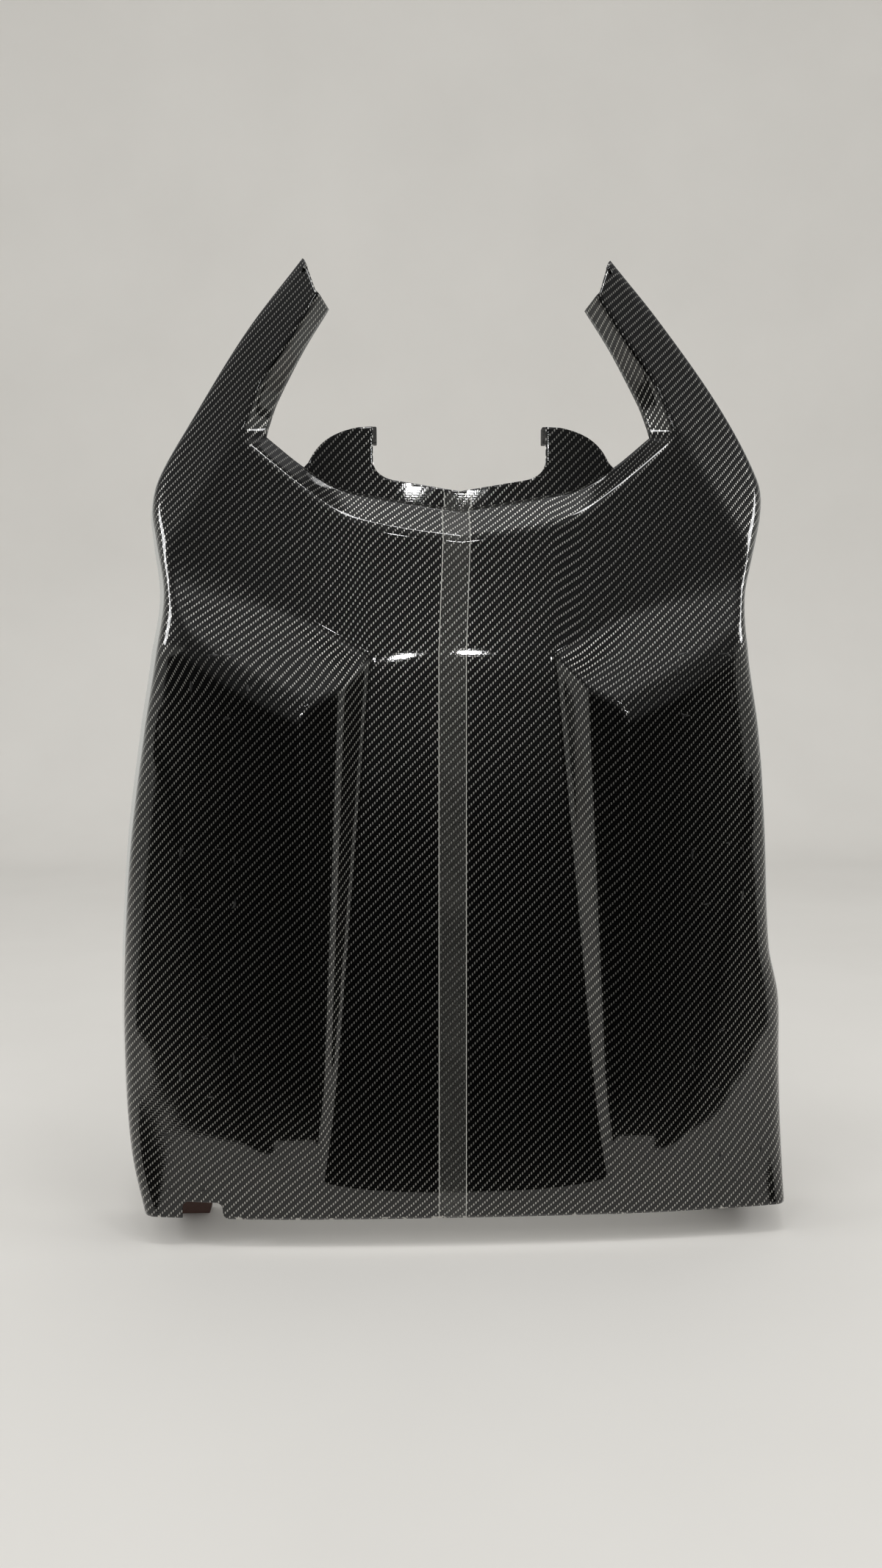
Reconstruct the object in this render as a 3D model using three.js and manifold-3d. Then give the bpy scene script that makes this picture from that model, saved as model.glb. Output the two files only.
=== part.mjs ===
// Rear shell of a sports seat's backrest: a woven carbon laminate with two horns, a U-shaped neck
// with hook tabs, diagonal arms, two ridges and a knee recess, plus the fixings bonded inside it.
// Millimetres. X runs across, Y from the outer face towards the seat, Z up.
import * as THREE from 'three';
import { mergeVertices } from 'three/addons/utils/BufferGeometryUtils.js';
import Module from 'manifold-3d';

const wasm = await Module();
wasm.setup();

// ---------------------------------------------------------------- driving dimensions
const FOOT_DROP = 28;           // the feet reach this far below the shell's lower edge
const SKIN = 2;                 // laminate thickness
const BOND = 0.35;              // gap that stands for a glue line
const NECK_Z = 610;             // crease at the middle of the neck
const CREST_Z = 506;            // soft crease across the middle of the face
const RIM_DEPTH = 112;          // how far back the side walls reach
const HORN_RIM_DEPTH = 128;     // the same at the horn tips
const WALL_DRAFT = 0.26;        // side walls open by this much for each millimetre of depth
const CORNER = 10;              // blend between the face and a side wall
const LIP = 5;                  // blend along the neck and horn creases
const TAPE_WIDTH = 25;
const TAPE_THICKNESS = 0.5;
const TAPE_LIFT = 0.6;          // the film bridges the small hollows of the weave

// Half widths of the face at each height, left and right. The right side is trimmed narrower
// between the waist and a small step above the lower corner.
const LEFT_OUTLINE = [
  [0, 290], [50, 303], [110, 309], [200, 309], [330, 299], [438, 282], [520, 267], [563, 264],
  [612, 274], [640, 279], [669, 274], [720, 246], [805, 194], [872, 142],
];
const RIGHT_OUTLINE = [
  [0, 296], [130, 293], [190, 291], [238, 280], [350, 273], [437, 265], [500, 254], [532, 252],
  [560, 255], [590, 264], [640, 279], [669, 278], [737, 244], [815, 189], [872, 142],
];
// The neck's crease and the free edge of its shelf (height at each half width), then the same
// for the horns (half width at each height).
const NECK_CREASE = [[0, 610], [60, 617], [104, 629], [142, 656], [190, 696]];
const NECK_FREE = [[0, 638], [76, 650], [110, 658], [143, 678], [176, 705]];
const HORN_CREASE = [[706, 196], [755, 178], [790, 154], [834, 127]];
const HORN_FREE = [[711, 175], [740, 166], [786, 143], [826, 119]];
// Depth of the return behind the crease: middle of the neck, its diagonals, the horns.
const RETURN_DEPTH = { middle: 25, diagonal: 20, horn: 24 };

// ---------------------------------------------------------------- small helpers
const clamp01 = (t) => Math.min(1, Math.max(0, t));
const mix = (a, b, t) => a + (b - a) * t;

/** Larger of two depths, rounded over where they differ by less than k: a convex edge. */
function roundMax(a, b, k) {
  const h = Math.max(k - Math.abs(a - b), 0);
  return Math.max(a, b) + (h * h) / (4 * k);
}

/** Smaller of two depths, rounded over: a concave edge. */
const roundMin = (a, b, k) => -roundMax(-a, -b, k);

/** Smooth curve through [position, value] pairs. */
function curve(points, at) {
  let i = 0;
  while (i < points.length - 2 && at > points[i + 1][0]) i += 1;
  const slope = (j) => {
    const before = points[Math.max(j - 1, 0)];
    const after = points[Math.min(j + 1, points.length - 1)];
    return (after[1] - before[1]) / (after[0] - before[0]);
  };
  const [p0, v0] = points[i];
  const [p1, v1] = points[i + 1];
  const span = p1 - p0;
  const t = clamp01((at - p0) / span);
  const start = (1 + 2 * t) * (1 - t) ** 2 * v0 + t * (1 - t) ** 2 * span * slope(i);
  const end = t * t * (3 - 2 * t) * v1 + t * t * (t - 1) * span * slope(i + 1);
  return start + end;
}

// ---------------------------------------------------------------- depth of the outer face
const PANEL_HALF = 290;
const PANEL_DEPTH = { middle: -4, edge: 46 };
const HEM_DEPTH = { middle: 15, edge: 31, height: 150 };
const RIDGE = { z: 48, outer: 131, outerLean: 0.028, inner: 129, innerLean: -0.0505 };
const RIDGE_SLOPE = 0.36;
const RECESS_WALL_SLOPE = 1.05;
const RECESS_FLOOR = { z: 40, depth: 12, up: 0.0644 };
const UPPER_FACE = { depth: 42, up: 0.16, bow: 10, bowHalf: 270 };
// Flat faces: the depth at one point, and how fast it grows sideways and upwards.
const ARM_FACE = { x: 142, z: 459, depth: 3.8, across: -0.1, up: 0.57 };
const ARM_WALL = { x: 107, z: 476, depth: 16.2, across: -0.267, up: 0.687 };
const SHOULDER = { x: 196, z: 708, depth: 79.6, across: 0.4, up: 0.367 };
// Difference in depth over which two faces blend into each other.
const ROUND = {
  arm: 2.5, ridge: 0.8, recessWall: 2.5, armWall: 2, hem: 2, crest: 1.5, recess: 3, shoulder: 3,
};

const flatFace = (face, x, z) => face.depth + face.across * (x - face.x) + face.up * (z - face.z);
const ridgeOuterX = (z) => RIDGE.outer + RIDGE.outerLean * (z - RIDGE.z);
const ridgeInnerX = (z) => RIDGE.inner + RIDGE.innerLean * (z - RIDGE.z);

/** The big lower panel: bowed across, and flatter towards the bottom, where its middle rolls under. */
function lowerPanel(x, z) {
  const hem = Math.max(0, 1 - z / HEM_DEPTH.height) ** 2;
  const middle = mix(PANEL_DEPTH.middle, HEM_DEPTH.middle, hem);
  const edge = mix(PANEL_DEPTH.edge, HEM_DEPTH.edge, hem);
  return middle + (edge - middle) * (x / PANEL_HALF) ** 2.6;
}

/** The facet that chamfers each ridge towards the recess. */
function ridgeFacet(x, z) {
  return lowerPanel(ridgeOuterX(z), z) + RIDGE_SLOPE * (ridgeOuterX(z) - x);
}

/** The recess's side wall, below the inner edge of the ridge. */
function recessWall(x, z) {
  return ridgeFacet(ridgeInnerX(z), z) + RECESS_WALL_SLOPE * (ridgeInnerX(z) - x);
}

const recessFloor = (z) => RECESS_FLOOR.depth + RECESS_FLOOR.up * (z - RECESS_FLOOR.z);

/** The face above the crest, bowed slightly across. */
function upperFace(x, z) {
  const { depth, up, bow, bowHalf } = UPPER_FACE;
  return depth + up * (z - CREST_Z) + bow * (x / bowHalf) ** 2;
}

/** Depth of the shell's outer face at any point of its outline. */
function faceDepth(signedX, z) {
  const x = Math.abs(signedX);
  let raised = roundMax(lowerPanel(x, z), flatFace(ARM_FACE, x, z), ROUND.arm);
  raised = roundMax(raised, ridgeFacet(x, z), ROUND.ridge);
  raised = roundMax(raised, recessWall(x, z), ROUND.recessWall);
  raised = roundMax(raised, flatFace(ARM_WALL, x, z), ROUND.armWall);
  let sunken = roundMax(recessFloor(z), lowerPanel(x, z), ROUND.hem);
  sunken = roundMax(sunken, upperFace(x, z), ROUND.crest);
  const body = roundMin(raised, sunken, ROUND.recess);
  return roundMax(body, flatFace(SHOULDER, x, z), ROUND.shoulder);
}

const rimDepth = (z) => mix(RIM_DEPTH, HORN_RIM_DEPTH, clamp01((z - 560) / 300));

// ---------------------------------------------------------------- stations up the shell
// A station runs from the centre line, or from the neck or horn crease, out to the side.
const BODY_HEIGHTS = [
  0, 15, 35, 65, 105, 160, 220, 280, 340, 390, 425, 445, 459, 469, 479, 489, 498, 506, 515, 525,
  536, 547, 560, 574, 590, NECK_Z - LIP,
];
const NECK_STEPS = 6;
const HORN_STEPS = 6;
const NECK_OUTER_Z = 585;
const CORNER_OUTER_Z = 690;
const HORN_OUTER_Z = 698;
const DIAGONAL_SHARE = 0.7;     // share of the neck's half width where its return is narrowest
const FACE_FRACTIONS = [0, 0.15, 0.27, 0.31, 0.35, 0.39, 0.43, 0.47, 0.52, 0.58, 0.65, 0.74, 0.86, 1];

const point = (x, z, y) => new THREE.Vector3(x, y, z);
const onFace = (x, z) => point(x, z, faceDepth(x, z));

function bodyStation(z) {
  return { innerX: 0, innerZ: z, outerZ: (z * NECK_OUTER_Z) / (NECK_Z - LIP) };
}

/** A station that starts at the crease: the face begins one blend away from it. */
function creaseStation(creaseX, creaseZ, freeX, freeZ, depth, outerZ) {
  const length = Math.hypot(creaseX - freeX, creaseZ - freeZ);
  const innerX = creaseX + ((creaseX - freeX) * LIP) / length;
  const innerZ = creaseZ + ((creaseZ - freeZ) * LIP) / length;
  return { innerX, innerZ, outerZ, crease: { creaseX, creaseZ, freeX, freeZ, depth } };
}

function neckStation(t) {
  const creaseX = t * NECK_CREASE.at(-1)[0];
  const freeX = t * NECK_FREE.at(-1)[0];
  const depth = mix(RETURN_DEPTH.middle, RETURN_DEPTH.diagonal, clamp01(t / DIAGONAL_SHARE));
  const outerZ = mix(NECK_OUTER_Z, CORNER_OUTER_Z, t);
  return creaseStation(creaseX, curve(NECK_CREASE, creaseX), freeX, curve(NECK_FREE, freeX),
    depth, outerZ);
}

function hornStation(t) {
  const creaseZ = mix(HORN_CREASE[0][0], HORN_CREASE.at(-1)[0], t);
  const freeZ = mix(HORN_FREE[0][0], HORN_FREE.at(-1)[0], t);
  const outerZ = mix(HORN_OUTER_Z, LEFT_OUTLINE.at(-1)[0], t);
  return creaseStation(curve(HORN_CREASE, creaseZ), creaseZ, curve(HORN_FREE, freeZ), freeZ,
    RETURN_DEPTH.horn, outerZ);
}

const steps = (count) => Array.from({ length: count + 1 }, (_, i) => i / count);
const bodyStations = BODY_HEIGHTS.map(bodyStation);
const creaseStations = [
  ...steps(NECK_STEPS).map(neckStation),
  ...steps(HORN_STEPS).map(hornStation),
];

/** Quadratic blend through a corner point, with its ends included. */
function blend(from, corner, to) {
  return [0, 0.5, 1].map((t) => {
    const a = from.clone().lerp(corner, t);
    return a.lerp(corner.clone().lerp(to, t), t);
  });
}

/** Points from a station's inner end, across the face, round the corner and down the wall. */
function faceRow(station, side) {
  const outline = side < 0 ? LEFT_OUTLINE : RIGHT_OUTLINE;
  const inner = new THREE.Vector2(side * station.innerX, station.innerZ);
  const outer = new THREE.Vector2(side * curve(outline, station.outerZ), station.outerZ);
  const stop = outer.clone().lerp(inner, CORNER / outer.distanceTo(inner));
  const corner = onFace(outer.x, outer.y);
  const height = rimDepth(outer.y) - corner.y;
  const rim = point(outer.x + side * WALL_DRAFT * height, outer.y, rimDepth(outer.y));
  const face = FACE_FRACTIONS.map((t) => onFace(mix(inner.x, stop.x, t), mix(inner.y, stop.y, t)));
  const wallStart = corner.clone().lerp(rim, Math.min(0.5, CORNER / height));
  const round = blend(face.at(-1), corner, wallStart);
  return [...face.slice(0, -1), ...round, rim];
}

/** Points from the free edge of the neck's shelf or the horn's return up to the face. */
function returnRow(station, side) {
  const { creaseX, creaseZ, freeX, freeZ, depth } = station.crease;
  const crease = onFace(side * creaseX, creaseZ);
  const free = point(side * freeX, freeZ, crease.y + depth);
  const start = crease.clone().lerp(free, LIP / crease.distanceTo(free));
  return [free, ...blend(start, crease, onFace(side * station.innerX, station.innerZ))];
}

// ---------------------------------------------------------------- surface to solid
/** Welded triangles of the outer surface, seen from outside. */
function outerSurface() {
  const corners = [];
  for (const side of [-1, 1]) {
    const faces = [...bodyStations, ...creaseStations.slice(1)].map((s) => faceRow(s, side));
    const returns = creaseStations.map((s) => returnRow(s, side));
    for (const rows of [faces, returns]) {
      for (let r = 0; r < rows.length - 1; r += 1) {
        for (let c = 0; c < rows[r].length - 1; c += 1) {
          const [a, b, e, d] = [rows[r][c], rows[r][c + 1], rows[r + 1][c + 1], rows[r + 1][c]];
          corners.push(...(side < 0 ? [a, e, b, a, d, e] : [a, b, e, a, e, d]));
        }
      }
    }
  }
  const surface = mergeVertices(new THREE.BufferGeometry().setFromPoints(corners), 1e-3);
  surface.computeVertexNormals();
  return surface;
}

/** Closed solid between two copies of a surface, each placed by its own function. */
function solidBetween(surface, place, placeBack) {
  const position = surface.attributes.position;
  const normal = surface.attributes.normal;
  const count = position.count;
  const points = [];
  for (const put of [place, placeBack]) {
    for (let i = 0; i < count; i += 1) {
      const p = new THREE.Vector3().fromBufferAttribute(position, i);
      points.push(put(p, new THREE.Vector3().fromBufferAttribute(normal, i)));
    }
  }
  const front = Array.from(surface.index.array);
  const index = [];
  const open = new Map();
  for (let i = 0; i < front.length; i += 3) {
    const [a, b, c] = front.slice(i, i + 3);
    index.push(a, b, c, a + count, c + count, b + count);
    for (const [from, to] of [[a, b], [b, c], [c, a]]) {
      if (!open.delete(`${to}_${from}`)) open.set(`${from}_${to}`, [from, to]);
    }
  }
  for (const [from, to] of open.values()) {
    index.push(to, from, from + count, to, from + count, to + count);
  }
  const geometry = new THREE.BufferGeometry().setFromPoints(points);
  geometry.setIndex(index);
  return geometry;
}

function toSolid(geometry) {
  const bare = geometry.clone();
  bare.deleteAttribute('normal');
  bare.deleteAttribute('uv');
  const welded = mergeVertices(bare, 1e-4);
  return new wasm.Manifold(new wasm.Mesh({
    numProp: 3,
    vertProperties: new Float32Array(welded.attributes.position.array),
    triVerts: new Uint32Array(welded.index.array),
  }));
}

function toGeometry(solid) {
  const mesh = solid.getMesh();
  const geometry = new THREE.BufferGeometry();
  geometry.setAttribute('position', new THREE.BufferAttribute(mesh.vertProperties, 3));
  geometry.setIndex(new THREE.BufferAttribute(mesh.triVerts, 1));
  return geometry;
}

const box = (x0, x1, y0, y1, z0, z1) => {
  const shape = new THREE.BoxGeometry(x1 - x0, y1 - y0, z1 - z0);
  return toSolid(shape.translate((x0 + x1) / 2, (y0 + y1) / 2, (z0 + z1) / 2));
};

/** An outline in X and Z, extruded from one depth to another. */
function plate(shape, y0, y1, curveSegments = 6) {
  const geometry = new THREE.ExtrudeGeometry(shape, {
    depth: y1 - y0, bevelEnabled: false, curveSegments,
  });
  return geometry.rotateX(Math.PI / 2).translate(0, y1, 0);
}

/** An outline in Y and Z, extruded from one X to another. */
function profile(points, x0, x1) {
  const shape = new THREE.Shape(points.map(([y, z]) => new THREE.Vector2(y, z)));
  const geometry = new THREE.ExtrudeGeometry(shape, { depth: x1 - x0, bevelEnabled: false });
  geometry.applyMatrix4(new THREE.Matrix4().set(0, 0, 1, x0, 1, 0, 0, 0, 0, 1, 0, 0, 0, 0, 0, 1));
  return toSolid(geometry);
}

const surface = outerSurface();

const FAR_FRONT = -80;          // well in front of every piece

/** Everything in front of the skin, down to the given distance behind its outer surface. */
function inFrontOf(offset) {
  return toSolid(solidBetween(surface,
    (p) => p.setY(FAR_FRONT),
    (p, n) => p.addScaledVector(n, -offset)));
}

// ---------------------------------------------------------------- pieces
const pieces = [];
const finishes = {
  carbon: { color: 0x1a1b1c, roughness: 0.12, metalness: 0.1 },
  film: { color: 0xb9bcb8, roughness: 0.25, metalness: 0 },
  nylon: { color: 0x151515, roughness: 0.6, metalness: 0 },
  phenolic: { color: 0x3a2722, roughness: 0.7, metalness: 0 },
  steel: { color: 0x9da1a5, roughness: 0.35, metalness: 1 },
  felt: { color: 0x2b2b2d, roughness: 0.95, metalness: 0 },
};

function addPiece(name, shape, finish) {
  const geometry = shape.isBufferGeometry ? shape : toGeometry(shape);
  geometry.computeVertexNormals();
  const material = new THREE.MeshStandardMaterial(finishes[finish]);
  const mesh = new THREE.Mesh(geometry, material);
  mesh.name = name;
  pieces.push(mesh);
}

const NOTCH = { left: -256, right: -219, top: 15, round: 6, below: -20, depth: 80 };

/** The laminate, with the rounded notch cut into its lower left edge. */
function outerShell() {
  const { left, right, top, round, below, depth } = NOTCH;
  const notch = new THREE.Shape();
  notch.moveTo(left, below);
  notch.lineTo(right + 2 * round, below);
  notch.lineTo(right + round, 0);
  notch.absarc(right + round, round, round, -Math.PI / 2, -Math.PI, true);
  notch.absarc(right - round, top - round, round, 0, Math.PI / 2, false);
  notch.absarc(left + round, top - round, round, Math.PI / 2, Math.PI, false);
  const skin = toSolid(solidBetween(surface, (p) => p, (p, n) => p.addScaledVector(n, -SKIN)));
  return skin.subtract(toSolid(plate(notch, 0, depth)));
}

// The upstanding flange behind the neck's shelf, with a hook tab on each side.
const FLANGE_FRONT = 85.8;
const FLANGE_SKIN = 2.5;
const FLANGE_HALF = 143;
const FLANGE_BOW = { depth: 8, half: 140 };
const FLANGE_OVERLAP = 4;       // how far it reaches down behind the shelf's free edge
const TAB = { inner: 79, outer: 138, top: 713, lip: 3.5, lipBack: 12, lipHeight: 15 };
const flangeFront = (x) => FLANGE_FRONT + FLANGE_BOW.depth * (x / FLANGE_BOW.half) ** 2;

function neckFlange() {
  const outline = new THREE.Shape();
  outline.moveTo(0, 655);
  outline.lineTo(54, 664);
  outline.quadraticCurveTo(TAB.inner, 667, TAB.inner, 684);
  outline.lineTo(TAB.inner, TAB.top);
  outline.lineTo(92, TAB.top);
  outline.bezierCurveTo(118, 708, 130, 698, TAB.outer, 682);
  outline.lineTo(FLANGE_HALF, 677);
  const foot = steps(8).map((t) => FLANGE_HALF * (1 - t));
  foot.forEach((x) => outline.lineTo(x, curve(NECK_FREE, x) - FLANGE_OVERLAP));
  const half = plate(outline, 0, FLANGE_SKIN, 5);
  const position = half.attributes.position;
  for (let i = 0; i < position.count; i += 1) {
    position.setY(i, position.getY(i) + flangeFront(position.getX(i)));
  }
  const lipY = flangeFront(TAB.inner);
  const right = toSolid(half).add(box(TAB.inner - TAB.lip, TAB.inner + 0.5, lipY,
    lipY + TAB.lipBack, TAB.top - TAB.lipHeight, TAB.top));
  return right.add(right.mirror([1, 0, 0]));
}

const TAPE_X = { low: -12, crest: -9, top: -2, topRise: 150 };
const TAPE_TOP = { start: 641, end: 654 };

/** Where the tape's middle runs at each height. */
function tapeMiddle(z) {
  const { low, crest, top, topRise } = TAPE_X;
  return z < CREST_Z ? mix(low, crest, z / CREST_Z) : mix(crest, top, (z - CREST_Z) / topRise);
}

/** Clear protective tape: a thin ribbon from the flange's top edge down to the lower edge. */
function tape() {
  const atNeck = (column, x) => {
    const [here, next] = creaseStations.slice(0, 2).map((s) => returnRow(s, Math.sign(x) || 1));
    return here[column].clone().lerp(next[column], x / next[column].x);
  };
  const stops = [
    (x) => point(x, TAPE_TOP.end, flangeFront(x)),
    (x) => point(x, TAPE_TOP.start, flangeFront(x)),
    ...[0, 1, 2, 3].map((column) => (x) => atNeck(column, x)),
    ...BODY_HEIGHTS.slice(0, -1).reverse().map((z) => (x) => onFace(x, z)),
  ];
  const spine = stops.map((at) => at(0));
  const corners = stops.flatMap((at, i) => {
    const along = spine[Math.min(i + 1, spine.length - 1)].clone().sub(spine[Math.max(i - 1, 0)]);
    const away = point(0, -along.y, along.z).normalize();
    const x = tapeMiddle(spine[i].z);
    const across = [x - TAPE_WIDTH / 2, 0, x + TAPE_WIDTH / 2].map(at);
    const back = across.map((p) => p.clone().addScaledVector(away, TAPE_LIFT));
    const front = across.map((p) => p.clone().addScaledVector(away, TAPE_LIFT + TAPE_THICKNESS));
    return [...back, ...front.reverse()];
  });
  return ribs(corners, 6);
}

/** Closed solid through equal rings of points, with flat ends. */
function ribs(points, size) {
  const index = [];
  const last = points.length - size;
  for (let i = 0; i < last; i += size) {
    for (let k = 0; k < size; k += 1) {
      const next = (k + 1) % size;
      index.push(i + k, i + next, i + size + next, i + k, i + size + next, i + size + k);
    }
  }
  for (let k = 1; k < size - 1; k += 1) {
    index.push(0, k + 1, k, last, last + k, last + k + 1);
  }
  const geometry = new THREE.BufferGeometry().setFromPoints(points);
  geometry.setIndex(index);
  return geometry;
}

// Clip towers along both sides: a foot glued to the skin, a post, and a spring clip on its end.
const TOWER_PLACES = [[230, 140], [226, 310], [212, 478]];
const TOWER_END = 104;
const TOWER_FOOT = { half: 24, halfHeight: 26, thick: 10 };
const TOWER_POST = { half: 11, halfHeight: 17 };
const TOWER_SLOT = { half: 7, halfHeight: 2, deep: 22 };

/** A block that is centred on a tower and runs between two depths. */
function towerBlock(x, z, { half, halfHeight }, y0, y1) {
  return box(x - half, x + half, y0, y1, z - halfHeight, z + halfHeight);
}

function clipTower(x, z, block) {
  const foot = towerBlock(x, z, TOWER_FOOT, 0, faceDepth(x, z) + TOWER_FOOT.thick);
  const post = towerBlock(x, z, TOWER_POST, 0, TOWER_END);
  const slot = towerBlock(x, z, TOWER_SLOT, TOWER_END - TOWER_SLOT.deep, TOWER_END + 1);
  return foot.add(post).subtract(slot).subtract(block);
}

const CLIP = { thick: 0.8, half: 5.5, start: -20, shoulder: 4, barb: 10, barbOut: 4.2, tip: 17 };
const CLIP_BRIDGE = { half: 5.5, halfHeight: 1.6, start: 16.2, end: 18 };

/** Spring steel clip: two arms folded from a strip, with barbs that spread past the post. */
function springClip(x, z) {
  const { thick, half, start, shoulder, barb, barbOut, tip } = CLIP;
  const side = [
    [TOWER_END + start, thick / 2], [TOWER_END + shoulder, thick / 2],
    [TOWER_END + barb, barbOut], [TOWER_END + tip, 1],
  ];
  const outer = side.map(([y, w]) => [y, z + w + thick / 2]);
  const inner = side.map(([y, w]) => [y, z + w - thick / 2]).reverse();
  const arm = profile([...outer, ...inner], x - half, x + half);
  const other = arm.mirror([0, 0, 1]).translate([0, 0, 2 * z]);
  const bridge = towerBlock(x, z, CLIP_BRIDGE, TOWER_END + CLIP_BRIDGE.start,
    TOWER_END + CLIP_BRIDGE.end);
  return arm.add(other).add(bridge);
}

// Lower brackets: glued behind the lower corners, each with a foot below the edge.
const BRACKET = { x0: 234, x1: 272, back: 110, legFront: 96, floor: -FOOT_DROP, slant: 9 };
const NUT = { across: 10, thick: 5, hole: 5, y: 103, z: 40 };
const POCKET = { play: 0.7, halfDepth: 3, below: 7, top: 80 };
const BOLT = { radius: 3.25, long: 40, back: 14 };

function lowerBracket(side, block) {
  const [x0, x1] = side < 0 ? [-BRACKET.x1, -BRACKET.x0] : [BRACKET.x0, BRACKET.x1];
  const { back, legFront, floor, slant } = BRACKET;
  const blank = profile([
    [10, 26], [legFront, 26], [legFront, floor], [back, floor], [back, 56], [86, 74], [10, 74],
  ], x0, x1);
  const inner = side < 0 ? x1 : x0;
  const wedge = [[inner, floor - 1], [inner + side * slant, floor - 1], [inner, 12]];
  const cut = new THREE.Shape(wedge.map(([x, z]) => new THREE.Vector2(x, z)));
  const arm = blank.subtract(toSolid(plate(cut, legFront - 1, back + 1)));
  const middle = (x0 + x1) / 2;
  const half = NUT.across / 2 + POCKET.play;
  const pocket = box(middle - half, middle + half, NUT.y - POCKET.halfDepth,
    NUT.y + POCKET.halfDepth, NUT.z - POCKET.below, POCKET.top);
  const bolt = new THREE.CylinderGeometry(BOLT.radius, BOLT.radius, BOLT.long, 12);
  bolt.translate(middle, NUT.y + BOLT.back, NUT.z);
  return arm.subtract(pocket).subtract(toSolid(bolt)).subtract(block);
}

function captiveNut(side) {
  const middle = (side * (BRACKET.x0 + BRACKET.x1)) / 2;
  const turn = new THREE.Matrix4().makeTranslation(middle, NUT.y, NUT.z);
  const corner = NUT.across / Math.sqrt(3);
  const body = new THREE.CylinderGeometry(corner, corner, NUT.thick, 6).applyMatrix4(turn);
  const hole = new THREE.CylinderGeometry(NUT.hole / 2, NUT.hole / 2, 4 * NUT.thick, 12)
    .applyMatrix4(turn);
  return toSolid(body).subtract(toSolid(hole));
}

const PAD_OUTLINE = [[90, 676], [118, 676], [118, 698], [90, 706]];
const FELT_THICKNESS = 3;

/** Felt pad on the seat side of a hook tab, bent to the flange. */
function hookPad(side) {
  const pad = new THREE.Shape(PAD_OUTLINE.map(([x, z]) => new THREE.Vector2(side * x, z)));
  const shape = plate(pad, 0, FELT_THICKNESS);
  const position = shape.attributes.position;
  for (let i = 0; i < position.count; i += 1) {
    const back = flangeFront(position.getX(i)) + FLANGE_SKIN + BOND;
    position.setY(i, position.getY(i) + back);
  }
  return toSolid(shape);
}

const HORN_BLOCK = { x0: 149, x1: 172, y0: 60, y1: 118, z0: 790, z1: 812 };

/** Block glued into the hollow end of a horn, which the headrest cover screws to. */
function hornBlock(side, block) {
  const { x0, x1, y0, y1, z0, z1 } = HORN_BLOCK;
  const blank = profile([[y0, z0], [y1, z0], [y1, z1], [y0, z1]], x0, x1);
  const shape = side < 0 ? blank.mirror([1, 0, 0]) : blank;
  return shape.subtract(block);
}

/** A strip glued behind the skin: the part of a box between two depths behind the face. */
function backing(bounds, thickness, block) {
  return box(...bounds).intersect(inFrontOf(SKIN + BOND + thickness)).subtract(block);
}

// Between these heights, and between these shares of the wall's depth.
const WALL_FELT = { z0: 130, z1: 500, from: 0.55, to: 0.92 };

/** Felt along the inside of a side wall, so the shell doesn't rattle on the seat frame. */
function edgeFelt(side, block) {
  const { z0, z1, from, to } = WALL_FELT;
  const rows = bodyStations.filter((s) => s.outerZ > z0 && s.outerZ < z1);
  const points = rows.flatMap((row) => {
    const wall = faceRow(row, side);
    const corners = [];
    for (const [inset, ends] of [[0, [from, to]], [FELT_THICKNESS, [to, from]]]) {
      for (const t of ends) {
        const p = wall.at(-2).clone().lerp(wall.at(-1), t);
        corners.push(p.setX(p.x - side * (SKIN + 2 * BOND + inset)));
      }
    }
    return side < 0 ? corners.reverse() : corners;
  });
  return toSolid(ribs(points, 4)).subtract(block);
}

const DOUBLER = { bounds: [-215, 215, 0, 60, 5, 32], thickness: 3 };

const glued = inFrontOf(SKIN + BOND);
addPiece('outer_shell', outerShell(), 'carbon');
addPiece('neck_flange', neckFlange(), 'carbon');
addPiece('protective_tape', tape(), 'film');
for (const [side, label] of [[-1, 'left'], [1, 'right']]) {
  TOWER_PLACES.forEach(([x, z], i) => {
    addPiece(`clip_tower_${label}_${i + 1}`, clipTower(side * x, z, glued), 'nylon');
    addPiece(`spring_clip_${label}_${i + 1}`, springClip(side * x, z), 'steel');
  });
  addPiece(`lower_bracket_${label}`, lowerBracket(side, glued), 'phenolic');
  addPiece(`captive_nut_${label}`, captiveNut(side), 'steel');
  addPiece(`edge_felt_${label}`, edgeFelt(side, glued), 'felt');
  addPiece(`hook_pad_${label}`, hookPad(side), 'felt');
  addPiece(`horn_block_${label}`, hornBlock(side, glued), 'nylon');
}
addPiece('lower_doubler', backing(DOUBLER.bounds, DOUBLER.thickness, glued), 'carbon');

const part = new THREE.Group();
part.add(...pieces);
part.position.z = FOOT_DROP;

export default part;
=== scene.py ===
"""Visual model of the rear shell of a sports seat's backrest: woven carbon under a clear coat, with
its neck flange, protective film and the fixings bonded inside. Lengths are millimetres in the
part's own frame, whose height zero is the shell's lower edge. They become metres in a mesh."""

import math

import bmesh
import bpy
import numpy as np
from mathutils import Matrix, Vector


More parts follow.
